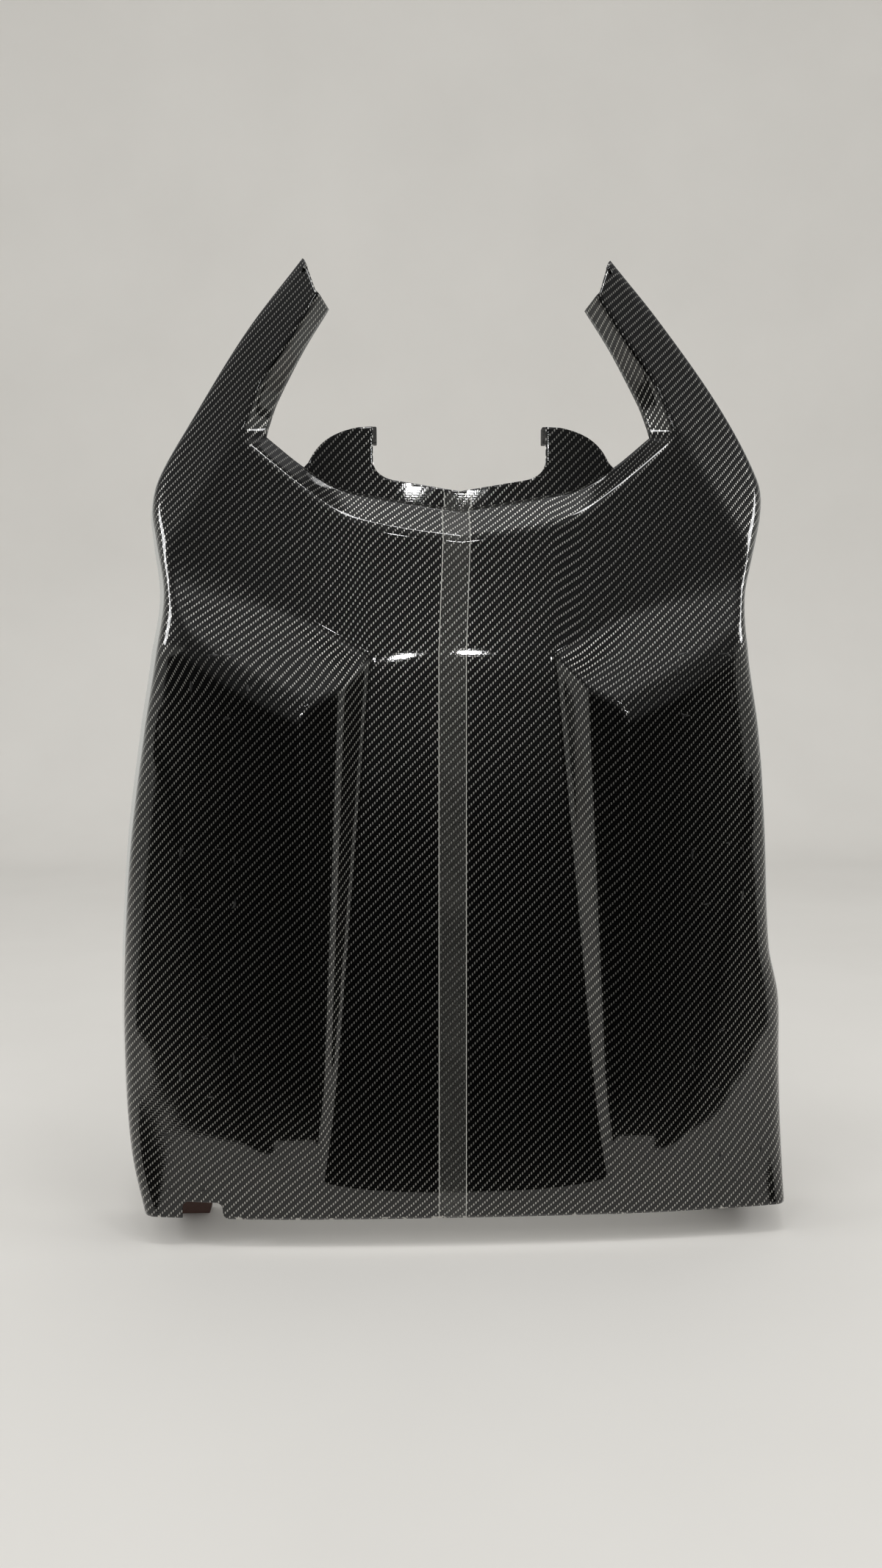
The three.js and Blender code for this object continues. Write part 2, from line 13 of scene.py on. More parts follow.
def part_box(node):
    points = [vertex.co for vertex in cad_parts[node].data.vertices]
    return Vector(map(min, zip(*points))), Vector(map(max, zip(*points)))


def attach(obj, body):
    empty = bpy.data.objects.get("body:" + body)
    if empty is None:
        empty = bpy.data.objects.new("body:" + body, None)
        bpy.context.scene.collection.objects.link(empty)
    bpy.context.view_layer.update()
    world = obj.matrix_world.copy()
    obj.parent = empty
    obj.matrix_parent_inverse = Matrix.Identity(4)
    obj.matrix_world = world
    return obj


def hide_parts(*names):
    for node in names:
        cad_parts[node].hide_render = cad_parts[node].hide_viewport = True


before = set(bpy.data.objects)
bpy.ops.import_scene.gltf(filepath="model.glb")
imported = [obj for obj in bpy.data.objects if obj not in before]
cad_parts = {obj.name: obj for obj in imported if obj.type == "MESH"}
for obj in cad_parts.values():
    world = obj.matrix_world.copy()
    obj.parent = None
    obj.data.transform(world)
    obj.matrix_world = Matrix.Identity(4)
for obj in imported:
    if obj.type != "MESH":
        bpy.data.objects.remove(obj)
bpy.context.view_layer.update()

MM = 0.001
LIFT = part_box("outer_shell")[0].z  # metres from the floor to the shell's lower edge

# ---------------------------------------------------------------- driving dimensions
SKIN = 2.0
NECK_Z = 610.0
CREST_Z = 506.0
RIM_DEPTH = 112.0
HORN_RIM_DEPTH = 128.0
WALL_DRAFT = 0.26
CORNER = 10.0
LIP = 5.0
TAPE_WIDTH = 25.0

# Half widths of the face at each height, then the neck's and the horns' crease and free edge.
LEFT_OUTLINE = [
    (0, 290), (50, 303), (110, 309), (200, 309), (330, 299), (438, 282), (520, 267), (563, 264),
    (612, 274), (640, 279), (669, 274), (720, 246), (805, 194), (872, 142),
]
RIGHT_OUTLINE = [
    (0, 296), (130, 293), (190, 291), (238, 280), (350, 273), (437, 265), (500, 254), (532, 252),
    (560, 255), (590, 264), (640, 279), (669, 278), (737, 244), (815, 189), (872, 142),
]
NECK_CREASE = [(0, 610), (60, 617), (104, 629), (142, 656), (190, 696)]
NECK_FREE = [(0, 638), (76, 650), (110, 658), (143, 678), (176, 705)]
HORN_CREASE = [(706, 196), (755, 178), (790, 154), (834, 127)]
HORN_FREE = [(711, 175), (740, 166), (786, 143), (826, 119)]
RETURN_DEPTH = {"middle": 25, "diagonal": 20, "horn": 24}
RETURN_BLEND = {"neck": 0.7, "horn": 0.25}  # share of its rows over which each depth changes


# ---------------------------------------------------------------- small helpers
def mix(a, b, t):
    return a + (b - a) * t


def round_max(a, b, k):
    """Larger of two depths, rounded over where they differ by less than k."""
    h = np.maximum(k - np.abs(a - b), 0)
    return np.maximum(a, b) + h * h / (4 * k)


def round_min(a, b, k):
    return -round_max(-a, -b, k)


def curve(points, at):
    """Smooth curve through (position, value) pairs, at one position or an array of them."""
    where, value = np.array(points, float).T
    at = np.clip(np.asarray(at, float), where[0], where[-1])
    i = np.clip(np.searchsorted(where, at, side="left") - 1, 0, len(where) - 2)
    before = np.maximum(np.arange(len(where)) - 1, 0)
    after = np.minimum(np.arange(len(where)) + 1, len(where) - 1)
    slope = (value[after] - value[before]) / (where[after] - where[before])
    span = where[i + 1] - where[i]
    t = (at - where[i]) / span
    start = (1 + 2 * t) * (1 - t) ** 2 * value[i] + t * (1 - t) ** 2 * span * slope[i]
    end = t * t * (3 - 2 * t) * value[i + 1] + t * t * (t - 1) * span * slope[i + 1]
    return start + end


def points(x, z, y):
    return np.stack(np.broadcast_arrays(x, y, z), axis=-1).astype(float)


# ---------------------------------------------------------------- depth of the outer face
PANEL_HALF = 290
PANEL_POWER = 2.6
PANEL_DEPTH = {"middle": -4, "edge": 46}
HEM_DEPTH = {"middle": 15, "edge": 31, "height": 150}
RIDGE_FOOT = {"z": 48, "outer_x": 131, "inner_x": 129}
RIDGE_LEAN = {"outer": 0.028, "inner": 0.0505}
RIDGE_SLOPE = 0.36
RECESS_WALL_SLOPE = 1.05

# Flat faces: the depth at one point (x, z), and how it grows sideways and upwards from there.
ARM_FACE = {"depth": 3.8, "at": (142, 459), "slope": (-0.1, 0.57)}
ARM_WALL = {"depth": 16.2, "at": (107, 476), "slope": (-0.267, 0.687)}
RECESS_FLOOR = {"depth": 12, "at": (0, 40), "slope": (0, 0.0644)}
UPPER_FACE = {"depth": 42, "at": (0, CREST_Z), "slope": (0, 0.16)}
SHOULDER = {"depth": 79.6, "at": (196, 708), "slope": (0.4, 0.367)}
UPPER_BOW = {"depth": 10, "half": 270}

# Depths over which neighbouring faces blend. The crest's blend widens to the arm's at ARM_TOP.
ROUND = {"arm": 9, "ridge": 0.8, "recess_wall": 2.5, "arm_wall": 2, "recess": 2, "upper": 1.5,
         "crest": 3, "shoulder": 3}
ARM_TOP = {"x": (170, 230), "z": (430, 465)}
HORN_RIM_RISE = {"start": 560, "height": 300}


def ridge_outer_x(z):
    return RIDGE_FOOT["outer_x"] + RIDGE_LEAN["outer"] * (z - RIDGE_FOOT["z"])


def ridge_inner_x(z):
    return RIDGE_FOOT["inner_x"] - RIDGE_LEAN["inner"] * (z - RIDGE_FOOT["z"])


def lower_panel(x, z):
    hem = np.maximum(0, 1 - z / HEM_DEPTH["height"]) ** 2
    middle = mix(PANEL_DEPTH["middle"], HEM_DEPTH["middle"], hem)
    edge = mix(PANEL_DEPTH["edge"], HEM_DEPTH["edge"], hem)
    return middle + (edge - middle) * (x / PANEL_HALF) ** PANEL_POWER


def ridge_facet(x, z):
    return lower_panel(ridge_outer_x(z), z) + RIDGE_SLOPE * (ridge_outer_x(z) - x)


def recess_wall(x, z):
    return ridge_facet(ridge_inner_x(z), z) + RECESS_WALL_SLOPE * (ridge_inner_x(z) - x)


def flat_face(face, x, z):
    (at_x, at_z), (across, up) = face["at"], face["slope"]
    return face["depth"] + across * (x - at_x) + up * (z - at_z)


def smooth_step(value, low, high):
    t = np.clip((value - low) / (high - low), 0, 1)
    return t * t * (3 - 2 * t)


def face_depth(signed_x, z):
    """Depth of the shell's outer face at any point of its outline."""
    x = np.abs(signed_x)
    upper_face = flat_face(UPPER_FACE, x, z) + UPPER_BOW["depth"] * (x / UPPER_BOW["half"]) ** 2
    raised = round_max(lower_panel(x, z), flat_face(ARM_FACE, x, z), ROUND["arm"])
    raised = round_max(raised, ridge_facet(x, z), ROUND["ridge"])
    raised = round_max(raised, recess_wall(x, z), ROUND["recess_wall"])
    raised = round_max(raised, flat_face(ARM_WALL, x, z), ROUND["arm_wall"])
    sunken = round_max(flat_face(RECESS_FLOOR, x, z), lower_panel(x, z), ROUND["recess"])
    sunken = round_max(sunken, upper_face, ROUND["upper"])
    arm_top = smooth_step(x, *ARM_TOP["x"]) * smooth_step(z, *ARM_TOP["z"])
    crest = round_min(raised, sunken, mix(ROUND["crest"], ROUND["arm"], arm_top))
    return round_max(crest, flat_face(SHOULDER, x, z), ROUND["shoulder"])


def on_face(x, z):
    return points(x, z, face_depth(x, z))


def rim_depth(z):
    rise = (z - HORN_RIM_RISE["start"]) / HORN_RIM_RISE["height"]
    return mix(RIM_DEPTH, HORN_RIM_DEPTH, np.clip(rise, 0, 1))


class Drape:
    """Where each point of the face lies on the flat cloth: distance along the surface, sideways
    from the middle and upwards from the lower edge, so the weave stretches over the arms."""

    STEP = 2.0
    HALF = 330.0
    TOP = 900.0

    def __init__(self):
        self.x = np.arange(0, self.HALF, self.STEP)
        self.z = np.arange(0, self.TOP, self.STEP)
        depth = face_depth(self.x[None, :], self.z[:, None])
        across = np.hypot(self.STEP, np.diff(depth, axis=1))
        along = np.hypot(self.STEP, np.diff(depth, axis=0))
        self.u = np.pad(np.cumsum(across, axis=1), ((0, 0), (1, 0)))
        self.v = np.pad(np.cumsum(along, axis=0), ((1, 0), (0, 0)))

    def at(self, x, z):
        column = np.clip(np.abs(x) / self.STEP, 0, len(self.x) - 1.001)
        row = np.clip(z / self.STEP, 0, len(self.z) - 1.001)
        c, r = column.astype(int), row.astype(int)
        fc, fr = column - c, row - r
        flat = []
        for grid in (self.u, self.v):
            low = mix(grid[r, c], grid[r, c + 1], fc)
            high = mix(grid[r + 1, c], grid[r + 1, c + 1], fc)
            flat.append(mix(low, high, fr))
        return np.stack([np.sign(x) * flat[0], flat[1]], axis=-1)


drape = Drape()


# ---------------------------------------------------------------- meshes
def grid_faces(rows, columns, start=0):
    """Quads of a grid of vertices stored row by row."""
    r, c = np.meshgrid(np.arange(rows - 1), np.arange(columns - 1), indexing="ij")
    a = start + r * columns + c
    return np.stack([a, a + 1, a + columns + 1, a + columns], axis=-1).reshape(-1, 4)


class Patchwork:
    """Collects grids of points, each with its place on the cloth, and welds them into a mesh."""

    def __init__(self):
        self.verts, self.flats, self.faces, self.count = [], [], [], 0

    def add(self, grid, flat, flip=False):
        rows, columns = grid.shape[:2]
        faces = grid_faces(rows, columns, self.count)
        self.faces.append(faces[:, ::-1] if flip else faces)
        self.verts.append(grid.reshape(-1, 3))
        self.flats.append(flat.reshape(-1, 2))
        self.count += rows * columns

    def build(self, name):
        verts, faces = np.concatenate(self.verts), np.concatenate(self.faces)
        obj = add_mesh(name, verts, faces, np.concatenate(self.flats))
        bm = bmesh.new()
        bm.from_mesh(obj.data)
        bmesh.ops.remove_doubles(bm, verts=bm.verts, dist=0.02 * MM)
        bmesh.ops.dissolve_degenerate(bm, edges=bm.edges, dist=0.01 * MM)
        bm.to_mesh(obj.data)
        bm.free()
        return obj


def add_object(name, data):
    obj = bpy.data.objects.new(name, data)
    bpy.context.scene.collection.objects.link(obj)
    return obj


def add_mesh(name, verts, faces, flat=None):
    """A smooth-shaded mesh object from points in millimetres."""
    mesh = bpy.data.meshes.new(name)
    placed = np.asarray(verts, float) * MM + np.array([0, 0, LIFT])
    mesh.from_pydata(placed.tolist(), [], np.asarray(faces).tolist())
    if flat is not None:
        corner = np.zeros(len(mesh.loops), int)
        mesh.loops.foreach_get("vertex_index", corner)
        layer = mesh.uv_layers.new(name="weave")
        layer.data.foreach_set("uv", (np.asarray(flat)[corner] * MM).astype(np.float32).ravel())
    mesh.shade_smooth()
    return add_object(name, mesh)


def settle(obj):
    """Applies an object's modifiers."""
    bpy.context.view_layer.update()
    graph = bpy.context.evaluated_depsgraph_get()
    mesh = bpy.data.meshes.new_from_object(obj.evaluated_get(graph))
    obj.modifiers.clear()
    obj.data = mesh
    return obj


def cut(obj, cutter):
    """Cuts one closed mesh out of another and throws the cutter away."""
    boolean = obj.modifiers.new("cut", "BOOLEAN")
    boolean.operation = "DIFFERENCE"
    boolean.solver = "EXACT"
    boolean.object = cutter
    settle(obj)
    bpy.data.objects.remove(cutter)


def thicken(obj, thickness, inner_slot=0, edge_slot=0):
    solid = obj.modifiers.new("thicken", "SOLIDIFY")
    solid.thickness = thickness * MM
    solid.offset = -1
    solid.material_offset = inner_slot
    solid.material_offset_rim = edge_slot
    return settle(obj)


def soften(obj, width):
    """Rounds an object's edges with modifiers, so its own points stay as they are."""
    weld = obj.modifiers.new("weld", "WELD")
    weld.merge_threshold = 0.01 * MM
    bevel = obj.modifiers.new("round", "BEVEL")
    bevel.width = width * MM
    bevel.segments = 2
    bevel.limit_method = "ANGLE"
    bevel.angle_limit = math.radians(35)


def extrude_outline(name, outline, y0, y1):
    """A closed prism from an outline of (x, z) points between two depths."""
    outline = np.array(outline, float)
    count = len(outline)
    verts = np.concatenate([points(outline[:, 0], outline[:, 1], y) for y in (y0, y1)])
    sides = [[i, (i + 1) % count, count + (i + 1) % count, count + i] for i in range(count)]
    mesh = bpy.data.meshes.new(name)
    placed = verts * MM + np.array([0, 0, LIFT])
    ends = [list(range(count))[::-1], list(range(count, 2 * count))]
    mesh.from_pydata(placed.tolist(), [], ends + sides)
    bm = bmesh.new()
    bm.from_mesh(mesh)
    bmesh.ops.recalc_face_normals(bm, faces=bm.faces)
    bm.to_mesh(mesh)
    bm.free()
    return add_object(name, mesh)


def arc(x, z, radius, start, end, count=6):
    angles = np.radians(np.linspace(start, end, count + 1))
    return [(x + radius * math.cos(a), z + radius * math.sin(a)) for a in angles]


# ---------------------------------------------------------------- outer shell
ROW_STEP = 2.4
CORNER_STEPS = 10
WALL_STEPS = 12
LIP_STEPS = 6
SHELF_STEPS = 6
NECK_STEPS = 84
HORN_STEPS = 74
NECK_OUTER_Z = 585
CORNER_OUTER_Z = 690
RIDGE_TOP_Z = 480
RIDGE_BAND = (128, 132)  # the ridge's own columns reach at least from here to here
TINY = 1e-9  # keeps a point of the middle line on its own side of the cloth
COLUMNS = {"recess": 50, "ridge": 12, "panel": 66}


def blend(start, corner, end, steps):
    """Quadratic blend through a corner, for arrays of points, ends included."""
    t = np.linspace(0, 1, steps + 1)[None, :, None]
    start, corner, end = (p[:, None, :] for p in (start, corner, end))
    return mix(mix(start, corner, t), mix(corner, end, t), t)


def straight(start, end, steps):
    """Points on the way from one row of points to another, without the first row."""
    t = np.linspace(0, 1, steps + 1)[None, 1:, None]
    return mix(start[:, None, :], end[:, None, :], t)


def toward(a, b, distance):
    length = np.linalg.norm(b - a, axis=-1, keepdims=True)
    return a + (b - a) * np.minimum(0.5, distance / length)


def face_fractions(inner_z, stop_x):
    """Column places along a row, drawn together at the two lines of the ridge."""
    z = np.minimum(inner_z, RIDGE_TOP_Z)
    inner = np.minimum(ridge_inner_x(z), RIDGE_BAND[0]) / stop_x
    outer = np.maximum(ridge_outer_x(z), RIDGE_BAND[1]) / stop_x
    knots = np.stack([0 * inner, inner, outer, 0 * inner + 1], axis=-1)
    parts = []
    for i, count in enumerate(COLUMNS.values()):
        t = np.linspace(0, 1, count + 1)[(1 if i else 0):]
        parts.append(mix(knots[:, i:i + 1], knots[:, i + 1:i + 2], t[None, :]))
    return np.concatenate(parts, axis=1)


def body_rows():
    z = np.linspace(0, NECK_Z - LIP, round((NECK_Z - LIP) / ROW_STEP) + 1)
    return {"inner_x": 0 * z, "inner_z": z, "outer_z": z * NECK_OUTER_Z / (NECK_Z - LIP)}


def crease_rows():
    """Rows that start at the neck's or a horn's crease, with the free edge behind it."""
    t = np.linspace(0, 1, NECK_STEPS + 1)
    s = np.linspace(0, 1, HORN_STEPS + 1)[1:]
    neck_x, neck_free_x = t * NECK_CREASE[-1][0], t * NECK_FREE[-1][0]
    horn_z = mix(HORN_CREASE[0][0], HORN_CREASE[-1][0], s)
    horn_free_z = mix(HORN_FREE[0][0], HORN_FREE[-1][0], s)
    middle, diagonal = RETURN_DEPTH["middle"], RETURN_DEPTH["diagonal"]
    rows = {
        "crease_x": np.append(neck_x, curve(HORN_CREASE, horn_z)),
        "crease_z": np.append(curve(NECK_CREASE, neck_x), horn_z),
        "free_x": np.append(neck_free_x, curve(HORN_FREE, horn_free_z)),
        "free_z": np.append(curve(NECK_FREE, neck_free_x), horn_free_z),
        "depth": np.append(mix(middle, diagonal, np.clip(t / RETURN_BLEND["neck"], 0, 1)),
                           mix(diagonal, RETURN_DEPTH["horn"], np.clip(s / RETURN_BLEND["horn"], 0, 1))),
        "outer_z": np.append(mix(NECK_OUTER_Z, CORNER_OUTER_Z, t),
                             mix(CORNER_OUTER_Z, LEFT_OUTLINE[-1][0], s)),
    }
    dx, dz = rows["crease_x"] - rows["free_x"], rows["crease_z"] - rows["free_z"]
    length = np.hypot(dx, dz)
    rows["inner_x"] = rows["crease_x"] + dx * LIP / length
    rows["inner_z"] = rows["crease_z"] + dz * LIP / length
    return rows


def face_grid(rows, side):
    """The face, the rounded corner and the side wall, with their places on the cloth."""
    outline = LEFT_OUTLINE if side < 0 else RIGHT_OUTLINE
    inner = np.stack([rows["inner_x"], rows["inner_z"]], axis=-1)
    outer = np.stack([curve(outline, rows["outer_z"]), rows["outer_z"]], axis=-1)
    stop = toward(outer, inner, CORNER)
    t = face_fractions(rows["inner_z"], stop[:, 0])[:, :, None]
    flat = mix(inner[:, None, :], stop[:, None, :], t)
    x, z = side * flat[:, :, 0], flat[:, :, 1]
    face = on_face(x, z)
    corner = on_face(side * outer[:, 0], outer[:, 1])
    height = (rim_depth(outer[:, 1]) - corner[:, 1])[:, None]
    rim = corner + height * np.array([side * WALL_DRAFT, 1, 0])
    wall_start = toward(corner, rim, CORNER)
    bend = blend(face[:, -1], corner, wall_start, CORNER_STEPS)
    beyond = np.concatenate([bend[:, 1:], straight(wall_start, rim, WALL_STEPS)], axis=1)
    cloth = drape.at(np.where(x == 0, side * TINY, x), z)
    way = (outer - inner) / np.linalg.norm(outer - inner, axis=-1, keepdims=True)
    way = way * np.array([side, 1])
    steps = np.diff(np.concatenate([face[:, -1:], beyond], axis=1), axis=1)
    run = np.cumsum(np.linalg.norm(steps, axis=-1), axis=1)[:, :, None]
    cloth_beyond = cloth[:, -1:, :] + run * way[:, None, :]
    return np.concatenate([face, beyond], axis=1), np.concatenate([cloth, cloth_beyond], axis=1)


def return_grid(rows, side):
    """The neck's shelf or a horn's return, from the face over the lip to the free edge."""
    start = on_face(side * rows["inner_x"], rows["inner_z"])
    crease = on_face(side * rows["crease_x"], rows["crease_z"])
    free = points(side * rows["free_x"], rows["free_z"], crease[:, 1] + rows["depth"])
    end = toward(crease, free, LIP)
    lip = blend(start, crease, end, LIP_STEPS)
    grid = np.concatenate([lip, straight(end, free, SHELF_STEPS)], axis=1)
    edge = drape.at(side * rows["inner_x"] + side * TINY, rows["inner_z"])
    way = np.stack([side * (rows["free_x"] - rows["crease_x"]),
                    rows["free_z"] - rows["crease_z"]], axis=-1)
    way = way / np.linalg.norm(way, axis=-1, keepdims=True)
    run = np.cumsum(np.linalg.norm(np.diff(grid, axis=1), axis=-1), axis=1)
    run = np.pad(run, ((0, 0), (1, 0)))[:, :, None]
    return grid, edge[:, None, :] + run * way[:, None, :]


NOTCH = {"left": -256, "right": -219, "top": 15, "round": 6}
NOTCH_BELOW = -20
NOTCH_BACK = 80
NUDGE = 0.01


def notch_cutter():
    """Cutter for the notch, whose right side flares out at the shell's lower edge."""
    left, right, top, r = NOTCH.values()
    flare = right + 2 * r
    outline = [(left, NOTCH_BELOW), (flare, NOTCH_BELOW), (flare, -NUDGE)]
    outline += arc(right + r, r - NUDGE, r, -90, -180)
    outline += arc(right - r, top - r, r, 0, 90)
    outline += arc(left + r, top - r, r, 90, 180)
    return extrude_outline("notch", outline, 0, NOTCH_BACK)


def build_shell():
    patchwork = Patchwork()
    body, creases = body_rows(), crease_rows()
    rows = {k: np.append(body[k], creases[k][1:]) for k in body}
    for side in (-1, 1):
        patchwork.add(*face_grid(rows, side), flip=side < 0)
        patchwork.add(*return_grid(creases, side), flip=side > 0)
    shell = patchwork.build("shell_skin")
    thicken(shell, SKIN, inner_slot=1, edge_slot=2)
    cut(shell, notch_cutter())
    return shell


# ---------------------------------------------------------------- neck flange
FLANGE_FRONT = 85.8
FLANGE_SKIN = 2.5
FLANGE_HALF = 143
FLANGE_FLARE = {"top": 674, "bottom": 634, "depth": 1.15}
FLANGE_BOW = {"half": 140, "depth": 8, "flatness": 0.7}
FLANGE_FOOT = {"overlap": 4, "count": 30}
FLANGE_CELL = {"size": 3.0, "margin": 2.5, "low_z": 632}
TAB = {"inner": 79, "outer": 138, "top": 713, "lip": 3.5, "lip_back": 12, "lip_height": 15}
HOOK = {"overlap": 0.5, "round": 0.8}


def flange_front(x, z):
    """Bowed across, and flared forwards at its foot where it runs into the shelf."""
    top, bottom, flare = FLANGE_FLARE.values()
    half, bow, flatness = FLANGE_BOW.values()
    low = np.clip((top - np.asarray(z, float)) / (top - bottom), 0, 1)
    reach = (np.asarray(x, float) / half) ** 2
    return FLANGE_FRONT + bow * mix(reach, reach ** 2, flatness) - flare * low ** 2


def bezier(*controls, count=12):
    """Points of a quadratic or cubic curve, without its first point."""
    t = np.linspace(0, 1, count + 1)[1:, None]
    ring = [np.array(c, float)[None, :] for c in controls]
    while len(ring) > 1:
        ring = [mix(a, b, t) for a, b in zip(ring, ring[1:])]
    return [tuple(p) for p in ring[0]]


def flange_outline():
    inner, outer, top = TAB["inner"], TAB["outer"], TAB["top"]
    neck, corner = (54, 664), (92, top - 0.5)
    right = [(0, 655), neck, *bezier(neck, (inner, 667), (inner, 684))]
    right += [(inner, top), corner, *bezier(corner, (118, 708), (130, 698), (outer, 682))]
    right += [(FLANGE_HALF, 677)]
    foot_x = np.linspace(FLANGE_HALF, 0, FLANGE_FOOT["count"])
    foot = list(zip(foot_x, curve(NECK_FREE, foot_x) - FLANGE_FOOT["overlap"]))
    half = right + foot
    return [(-x, z) for x, z in half[::-1][1:-1]] + half[:-1]


def slice_sheet(bm, places, axis):
    """Cuts a flat sheet at planes square to an axis, so that it can bend there."""
    for place in places:
        everything = bm.verts[:] + bm.edges[:] + bm.faces[:]
        middle = tuple(place * MM * a for a in axis)
        bmesh.ops.bisect_plane(bm, geom=everything, plane_co=middle, plane_no=axis)


def build_flange():
    bm = bmesh.new()
    verts = [bm.verts.new((x * MM, 0, z * MM)) for x, z in flange_outline()]
    bm.faces.new(verts)
    size, margin, low_z = FLANGE_CELL.values()
    slice_sheet(bm, np.arange(-FLANGE_HALF + margin, FLANGE_HALF, size), (1, 0, 0))
    slice_sheet(bm, np.arange(low_z, TAB["top"], size), (0, 0, 1))
    layer = bm.loops.layers.uv.new("weave")
    for face in bm.faces:
        for loop in face.loops:
            loop[layer].uv = (loop.vert.co.x, loop.vert.co.z)
    for vert in bm.verts:
        vert.co.y = float(flange_front(vert.co.x / MM, vert.co.z / MM)) * MM
        vert.co.z += LIFT
    bmesh.ops.recalc_face_normals(bm, faces=bm.faces)
    mesh = bpy.data.meshes.new("flange_skin")
    bm.to_mesh(mesh)
    bm.free()
    mesh.shade_smooth()
    flange = add_object("flange_skin", mesh)
    if sum(p.normal.y for p in mesh.polygons) > 0:
        mesh.flip_normals()
    thicken(flange, FLANGE_SKIN, inner_slot=1, edge_slot=2)
    return flange


def build_hook(side):
    """The fold at the inner top corner of a tab."""
    inner, top = TAB["inner"], TAB["top"]
    left, right, low = inner - TAB["lip"], inner + HOOK["overlap"], top - TAB["lip_height"]
    front = float(flange_front(inner, top))
    outline = [(side * x, z) for x, z in ((left, low), (right, low), (right, top), (left, top))]
    hook = extrude_outline("hook_fold", outline, front, front + TAB["lip_back"])
    soften(hook, HOOK["round"])
    return settle(hook)


# ---------------------------------------------------------------- protective film
FILM_LIFT = 0.25
FILM_THICKNESS = 0.15
FILM_START = 0.5
FILM_STEPS = {"across": 10, "face": 219, "shelf": 8, "turn": 4, "flange": 5}
FILM_SHORT = [0, 1.2, 0.6]  # how far it stops short of the shelf's free edge
FILM_TURN = [0, 0, 2]
FILM_ON_FLANGE = (641, 654)
TAPE_PATH = [(0, -12), (CREST_Z, -9), (CREST_Z + 150, -2)]  # height, x of the tape's middle


def tape_middle(z):
    return np.interp(z, *np.array(TAPE_PATH, float).T)


def film_grid(offsets):
    """Rows of points on the face, over the lip, up the shelf and onto the flange."""
    face_z = np.linspace(FILM_START, NECK_Z - LIP, FILM_STEPS["face"] + 1)
    face = on_face(tape_middle(face_z)[:, None] + offsets[None, :], face_z[:, None])
    x = tape_middle(NECK_Z) + offsets
    crease = on_face(x, curve(NECK_CREASE, np.abs(x)))
    free = points(x, curve(NECK_FREE, np.abs(x)), crease[:, 1] + RETURN_DEPTH["middle"])
    lip = blend(on_face(x, crease[:, 2] - LIP), crease, toward(crease, free, LIP), LIP_STEPS)
    shelf = straight(lip[:, -1], free - FILM_SHORT, FILM_STEPS["shelf"])
    x_top = tape_middle(TAPE_PATH[-1][0]) + offsets
    low, high = (points(x_top, z, flange_front(x_top, z)) for z in FILM_ON_FLANGE)
    turn = blend(shelf[:, -1], low - FILM_TURN, low + FILM_TURN, FILM_STEPS["turn"])
    flange = straight(turn[:, -1], high, FILM_STEPS["flange"])
    over = np.concatenate([lip, shelf, turn[:, 1:], flange], axis=1).transpose(1, 0, 2)
    return np.concatenate([face, over[1:]], axis=0)


def build_film():
    """A ribbon laid along the middle of the part, just clear of it."""
    offsets = np.linspace(-TAPE_WIDTH / 2, TAPE_WIDTH / 2, FILM_STEPS["across"] + 1)
    grid = film_grid(offsets)
    flat = np.zeros(grid.shape[:2] + (2,))
    flat[:, :, 0] = offsets[None, :]
    steps = np.linalg.norm(np.diff(grid[:, len(offsets) // 2], axis=0), axis=-1)
    flat[:, :, 1] = np.append(0, np.cumsum(steps))[:, None]
    patchwork = Patchwork()
    patchwork.add(grid, flat)
    film = patchwork.build("film_ribbon")
    lifted = film.modifiers.new("lift", "DISPLACE")
    lifted.mid_level = 0
    lifted.strength = (FILM_LIFT + FILM_THICKNESS) * MM
    settle(film)
    thicken(film, FILM_THICKNESS)
    return film


# ---------------------------------------------------------------- glue beads
BEAD = {"radius": 2.2, "around": 10, "along": 96, "clear": 1, "gap": 0.4, "squareness": 8}
BEAD_WAVER = {"size": 0.5, "waves": (7, 3)}
TOWER_PLACES = [(230, 140), (226, 310), (212, 478)]
TOWER_FOOT = {"half": 24, "half_height": 26}
BRACKET_FOOT = {"x": 253, "z": 50, "half": 19, "half_height": 24}


def build_bead(name, x, z, half, half_height):
    """Adhesive squeezed out round a foot that is glued to the inside of the shell."""
    turn = np.linspace(0, 2 * np.pi, BEAD["along"], endpoint=False)
    power, clear = BEAD["squareness"], BEAD["clear"]
    squared = (np.abs(np.cos(turn)) ** power + np.abs(np.sin(turn)) ** power) ** (-1 / power)
    path_x = x + (half + clear) * np.cos(turn) * squared
    path_z = z + (half_height + clear) * np.sin(turn) * squared
    middle = points(path_x, path_z, face_depth(path_x, path_z) + SKIN + BEAD["gap"])
    first, second = BEAD_WAVER["waves"]
    waver = BEAD_WAVER["size"] * np.sin(first * turn + x) * np.cos(second * turn + z)
    radius = BEAD["radius"] + waver
    away = np.stack([np.cos(turn), 0 * turn, np.sin(turn)], axis=-1)
    ring = np.linspace(0, 2 * np.pi, BEAD["around"], endpoint=False)
    swell = (np.cos(ring)[None, :, None] * away[:, None, :]
             + np.sin(ring)[None, :, None] * np.array([0, 1, 0]))
    verts = middle[:, None, :] + radius[:, None, None] * swell
    rows, columns = verts.shape[:2]
    r, c = np.meshgrid(np.arange(rows), np.arange(columns), indexing="ij")
    next_r, next_c = (r + 1) % rows, (c + 1) % columns
    faces = np.stack([r * columns + c, next_r * columns + c, next_r * columns + next_c,
                      r * columns + next_c], axis=-1).reshape(-1, 4)
    return add_mesh(name, verts.reshape(-1, 3), faces)


# ---------------------------------------------------------------- materials
TOW = 2.0
REPEAT = 4


